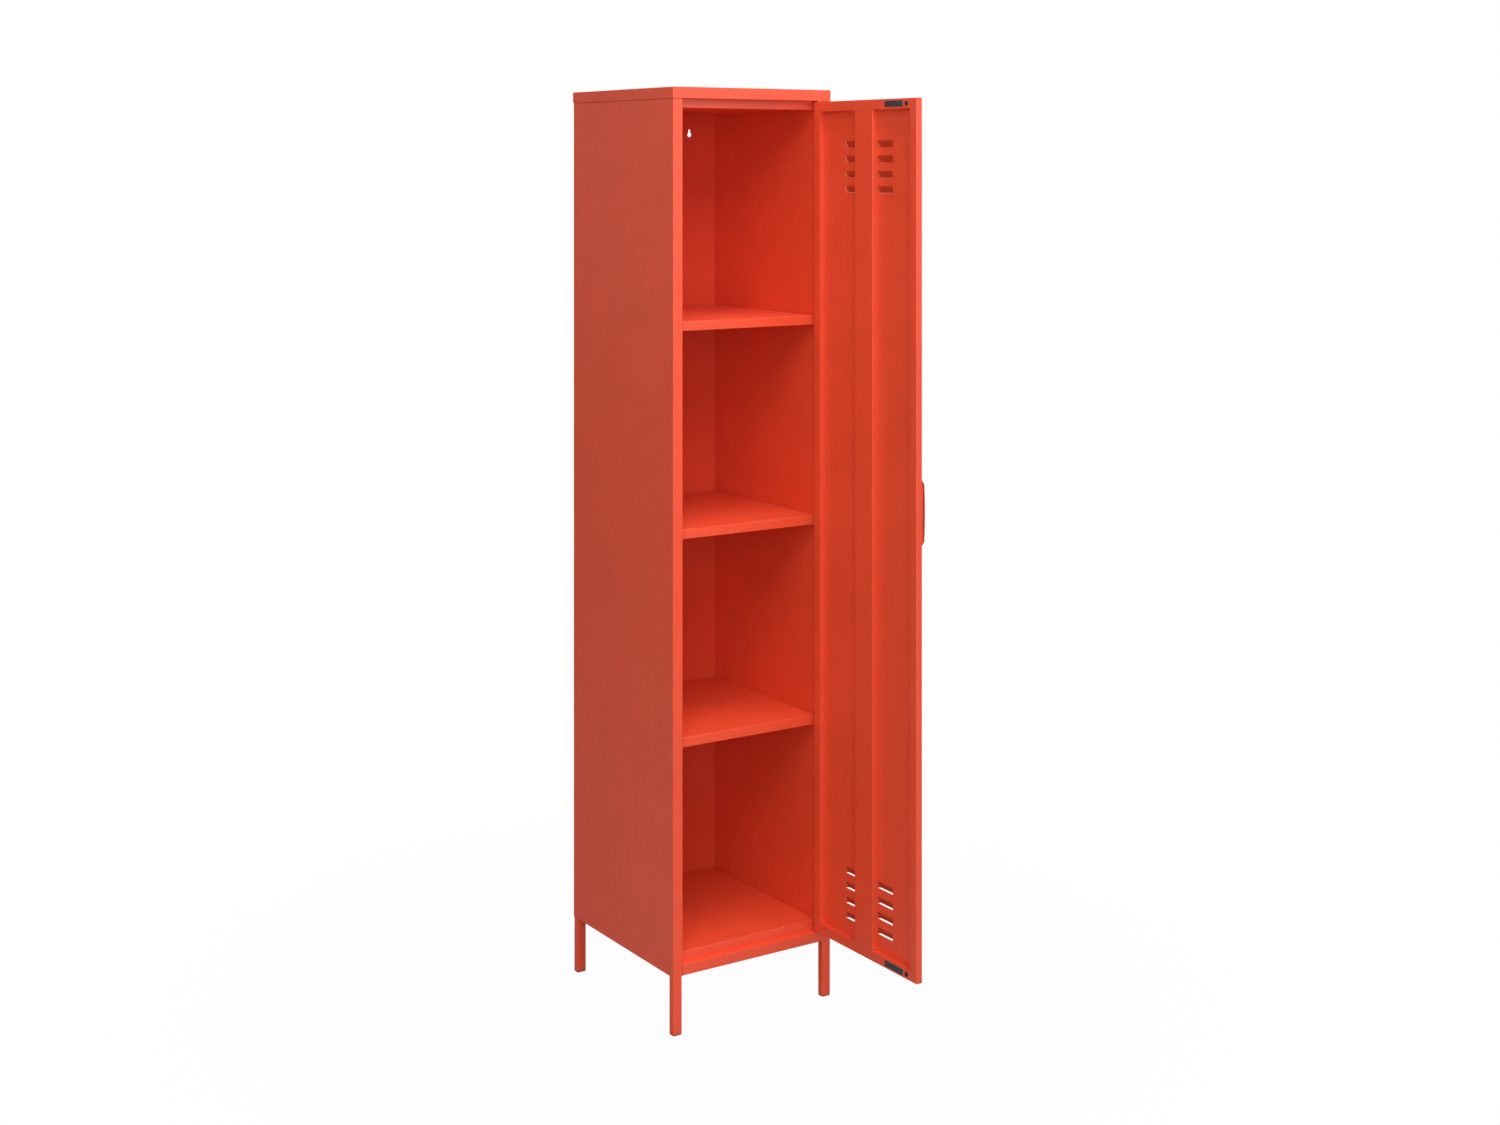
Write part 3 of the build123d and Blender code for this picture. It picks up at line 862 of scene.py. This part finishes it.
class LOCKER_OT_rivets(bpy.types.Operator):
    """Make the sixteen blind rivets down the back, with domed heads and hollow middles"""

    bl_idname = "locker.rivets"
    bl_label = "Back rivets"

    def execute(self, context):
        low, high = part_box("back_rivets")
        seat = frame_value("back_panel", "y", 1)
        rise = high.y - seat
        # Radius and height of each point of the outline, up the outside and back down the bore.
        profile = [
            (0.0, low.y - seat),
            (RIVET_BARREL, low.y - seat),
            (RIVET_BARREL, 0.0),
            (RIVET_HEAD, 0.0),
            (RIVET_HEAD * 0.97, rise * 0.45),
            (RIVET_HEAD * 0.80, rise * 0.82),
            (RIVET_HEAD * 0.52, rise),
            (RIVET_BORE, rise),
            (RIVET_BORE * 0.9, rise * 0.25),
            (0.0, rise * 0.2),
        ]
        edit = bmesh.new()
        for x, z in rivet_places(high.y - TOUCH):
            turned(edit, profile, (0, 1, 0), (x, seat, z), RIVET_STEPS)
        finished(edit, "back_rivet_heads", "coral_paint", CABINET, ("back_rivets",))
        return {"FINISHED"}


class LOCKER_OT_leg_screws(bpy.types.Operator):
    """Make the twelve pan-head screws under the leg plates, with a round dimple in each head"""

    bl_idname = "locker.leg_screws"
    bl_label = "Leg screws"

    def execute(self, context):
        low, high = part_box("leg_screws")
        plate_under = frame_value("leg_plates", "z", 0)
        drop = plate_under - low.z
        # Radius and depth of each point of the outline, down the outside and back up the dimple.
        profile = [
            (0.0, low.z - high.z + drop),
            (SCREW_SHANK, low.z - high.z + drop),
            (SCREW_SHANK, 0.0),
            (SCREW_HEAD, 0.0),
            (SCREW_HEAD, drop * 0.35),
            (SCREW_HEAD * 0.92, drop * 0.72),
            (SCREW_HEAD * 0.70, drop * 0.94),
            (SCREW_HEAD * 0.42, drop),
            (SCREW_HEAD * 0.30, drop * 0.55),
            (0.0, drop * 0.45),
        ]
        edit = bmesh.new()
        for x, y in screw_places():
            turned(edit, profile, (0, 0, -1), (x, y, plate_under), SCREW_STEPS)
        finished(edit, "leg_screw_heads", "zinc_steel", CABINET, ("leg_screws",))
        return {"FINISHED"}


class LOCKER_OT_studio(bpy.types.Operator):
    """Lay the floor, hang the lights and set the camera"""

    bl_idname = "locker.studio"
    bl_label = "Studio"

    def execute(self, context):
        scene = context.scene
        studio = scene.locker_studio
        scene.view_settings.view_transform = "Standard"
        scene.view_settings.look = "None"
        lay_floor(scene, studio)
        hang_surround(scene, studio)
        hang_lights(scene, studio)
        set_camera(scene, studio)
        return {"FINISHED"}


class LOCKER_PT_parts(bpy.types.Panel):
    """The locker's pieces, in the order in which they are made"""

    bl_idname = "LOCKER_PT_parts"
    bl_label = "School locker"
    bl_space_type = "VIEW_3D"
    bl_region_type = "UI"
    bl_category = "Locker"

    def draw(self, context):
        layout = self.layout
        for group in (
            context.scene.locker_coat,
            context.scene.locker_catches,
            context.scene.locker_studio,
        ):
            column = layout.column()
            for name in group.__annotations__:
                column.prop(group, name)
        for operator in OPERATORS:
            layout.operator(operator.bl_idname)


OPERATORS = (
    LOCKER_OT_sheet_metal,
    LOCKER_OT_small_steel,
    LOCKER_OT_glides,
    LOCKER_OT_magnets,
    LOCKER_OT_bumpers,
    LOCKER_OT_rivets,
    LOCKER_OT_leg_screws,
    LOCKER_OT_studio,
)
GROUPS = (LockerCoat, LockerCatches, LockerStudio)


def register():
    """Registers the settings, the operators and the panel."""
    for kind in GROUPS + OPERATORS + (LOCKER_PT_parts,):
        bpy.utils.register_class(kind)
    bpy.types.Scene.locker_coat = bpy.props.PointerProperty(type=LockerCoat)
    bpy.types.Scene.locker_catches = bpy.props.PointerProperty(type=LockerCatches)
    bpy.types.Scene.locker_studio = bpy.props.PointerProperty(type=LockerStudio)


def unregister():
    """Takes them away again."""
    del bpy.types.Scene.locker_studio
    del bpy.types.Scene.locker_catches
    del bpy.types.Scene.locker_coat
    for kind in reversed(GROUPS + OPERATORS + (LOCKER_PT_parts,)):
        bpy.utils.unregister_class(kind)


def main():
    """Makes the whole locker."""
    register()
    for operator in OPERATORS:
        group, name = operator.bl_idname.split(".")
        getattr(getattr(bpy.ops, group), name)()
    bpy.context.view_layer.update()


if __name__ == "__main__":
    main()
